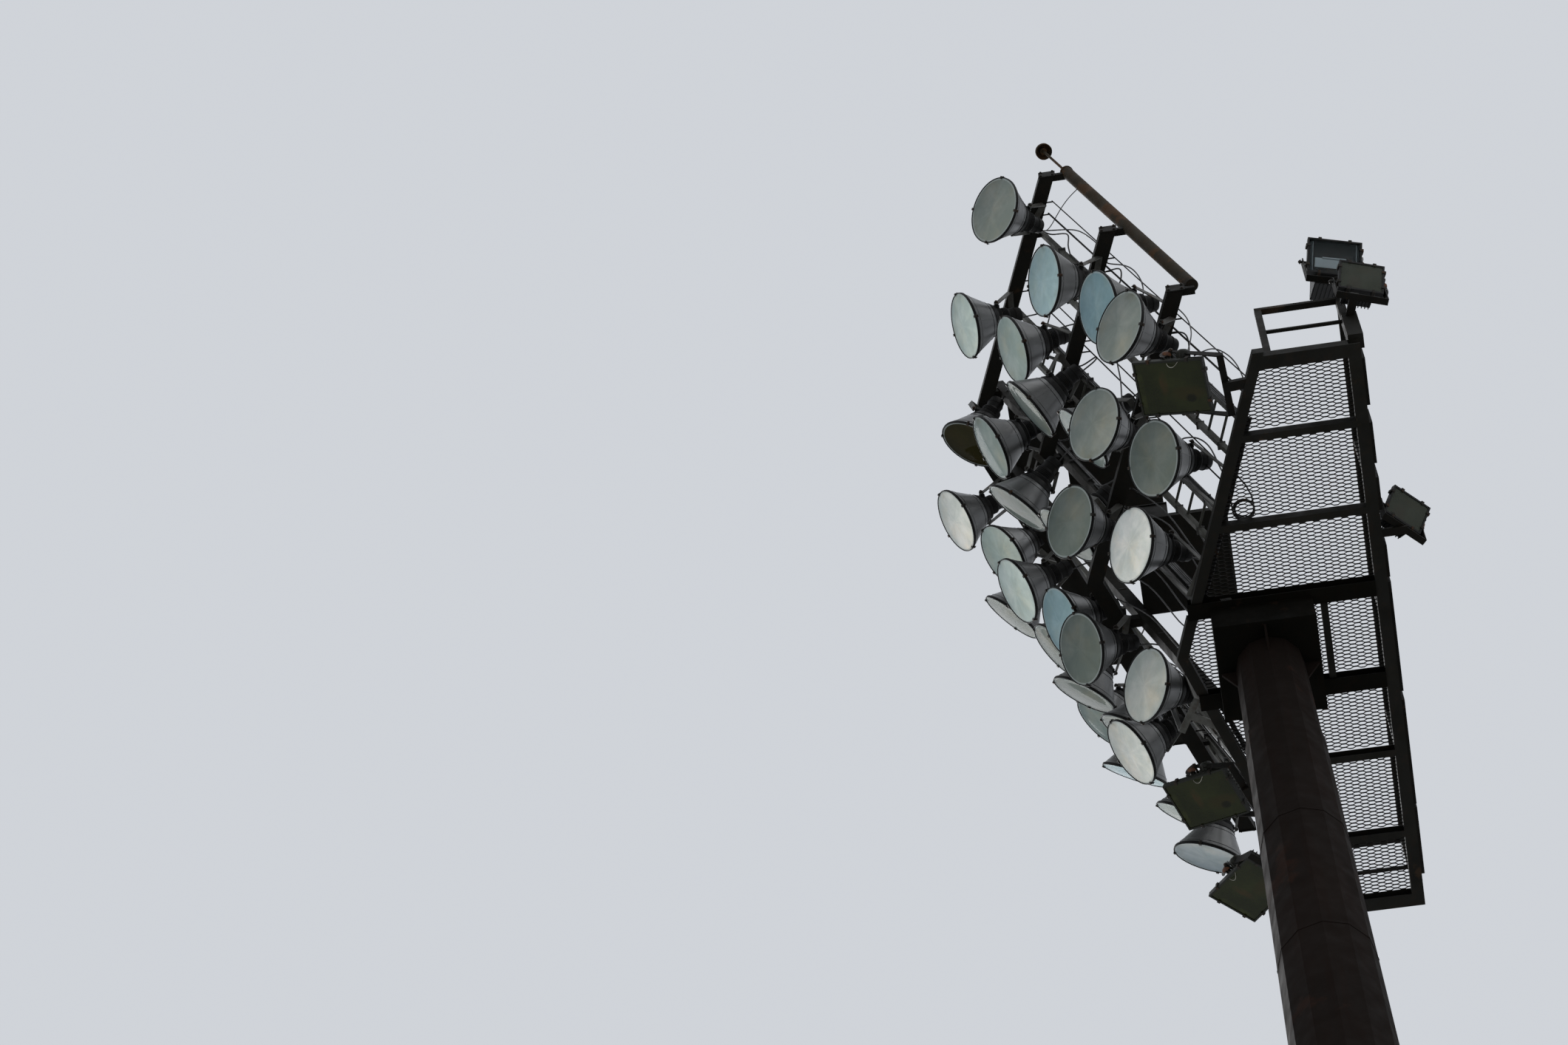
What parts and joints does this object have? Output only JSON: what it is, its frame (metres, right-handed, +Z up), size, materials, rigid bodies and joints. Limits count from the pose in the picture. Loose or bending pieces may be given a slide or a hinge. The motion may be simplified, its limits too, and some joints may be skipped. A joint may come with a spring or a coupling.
{
  "type": "stadium floodlight pylon",
  "caption": "Tall steel floodlight pylon with a mesh platform, raked V tiers of round projectors and tilting flood units.",
  "frame": {"origin": "centre of the base flange underside, at ground level", "axes": "+Z up along the shaft, -Y towards the field that the lamps light, +X along the tiers to the end with the pipe"},
  "size_m": [5.0517, 3.8604, 32.8575],
  "materials": {
    "flange_steel": "weathered",
    "shaft_steel": "weathered reddish brown",
    "frame_steel": "weathered dark brown grey",
    "deck_mesh": "weathered",
    "gear_box_steel": "weathered",
    "rusty_pipe": "rusted",
    "reflector_metal": "dull, streaked",
    "projector_glass": "clear, dusty",
    "lamp_housing": "satin black",
    "yoke_zinc": "dull zinc",
    "flood_bracket": "weathered",
    "flood_housing": "satin, weathered",
    "flood_housing_black": "satin black",
    "flood_glass": "dark olive, rust stained",
    "flood_glass_clear": "clear, dusty"
  },
  "bodies": {
    "tower": {"base_flange": "flange_steel", "shaft_lower": "shaft_steel", "shaft_middle": "shaft_steel", "shaft_upper": "shaft_steel", "shaft_top": "shaft_steel", "head_box": "frame_steel", "main_beams": "frame_steel", "cross_members": "frame_steel", "front_edge": "frame_steel", "back_edge": "frame_steel", "mesh_deck": "deck_mesh", "railings": "frame_steel", "corner_post": "frame_steel", "gear_boxes": "gear_box_steel", "landing_low": "frame_steel", "landing_mid": "frame_steel", "landing_top": "frame_steel", "gear_cabinet": "gear_box_steel", "masts": "frame_steel", "wing_braces": "frame_steel", "tier_low": "frame_steel", "tier_mid": "frame_steel", "tier_top": "frame_steel", "end_pipe": "rusty_pipe", "finial": "rusty_pipe", "bowls_upper": "reflector_metal", "bowls_lower": "reflector_metal", "glasses_upper": "projector_glass", "glasses_lower": "projector_glass", "tails_upper": "lamp_housing", "tails_lower": "lamp_housing", "yokes_upper": "yoke_zinc", "yokes_lower": "yoke_zinc", "front_flood_yokes": "flood_bracket", "rear_flood_yokes": "flood_bracket"},
    "flood_unit_1": {"flood_body_1": "flood_housing", "flood_pane_1": "flood_glass"},
    "flood_unit_2": {"flood_body_2": "flood_housing", "flood_pane_2": "flood_glass"},
    "flood_unit_3": {"flood_body_3": "flood_housing", "flood_pane_3": "flood_glass"},
    "flood_unit_4": {"flood_body_4": "flood_housing_black", "flood_pane_4": "flood_glass_clear"},
    "flood_unit_5": {"flood_body_5": "flood_housing_black", "flood_pane_5": "flood_glass_clear"},
    "flood_unit_6": {"flood_body_6": "flood_housing_black", "flood_pane_6": "flood_glass_clear"}
  },
  "joints": [
    {"name": "flood_1_tilt", "type": "hinge", "parent": "tower", "child": "flood_unit_1", "pos_m": [2, -0.38, 26.85], "axis": [0.9976, -0.0698, 0], "range_deg": [-45, 20]},
    {"name": "flood_2_tilt", "type": "hinge", "parent": "tower", "child": "flood_unit_2", "pos_m": [-1.24, -0.545, 26.85], "axis": [0.9272, -0.3746, 0], "range_deg": [-45, 20]},
    {"name": "flood_3_tilt", "type": "hinge", "parent": "tower", "child": "flood_unit_3", "pos_m": [-2.017, -0.317, 26.85], "axis": [0.6428, -0.766, 0], "range_deg": [-45, 20]},
    {"name": "flood_4_tilt", "type": "hinge", "parent": "tower", "child": "flood_unit_4", "pos_m": [2.31, 0.88, 28.1], "axis": [-0.2588, 0.9659, 0], "range_deg": [-20, 25]},
    {"name": "flood_5_tilt", "type": "hinge", "parent": "tower", "child": "flood_unit_5", "pos_m": [2.37, 1.005, 27.33], "axis": [-0.309, 0.9511, 0], "range_deg": [-20, 25]},
    {"name": "flood_6_tilt", "type": "hinge", "parent": "tower", "child": "flood_unit_6", "pos_m": [0.62, 1.105, 27.2], "axis": [-0.682, 0.7314, 0], "range_deg": [-20, 25]}
  ]
}
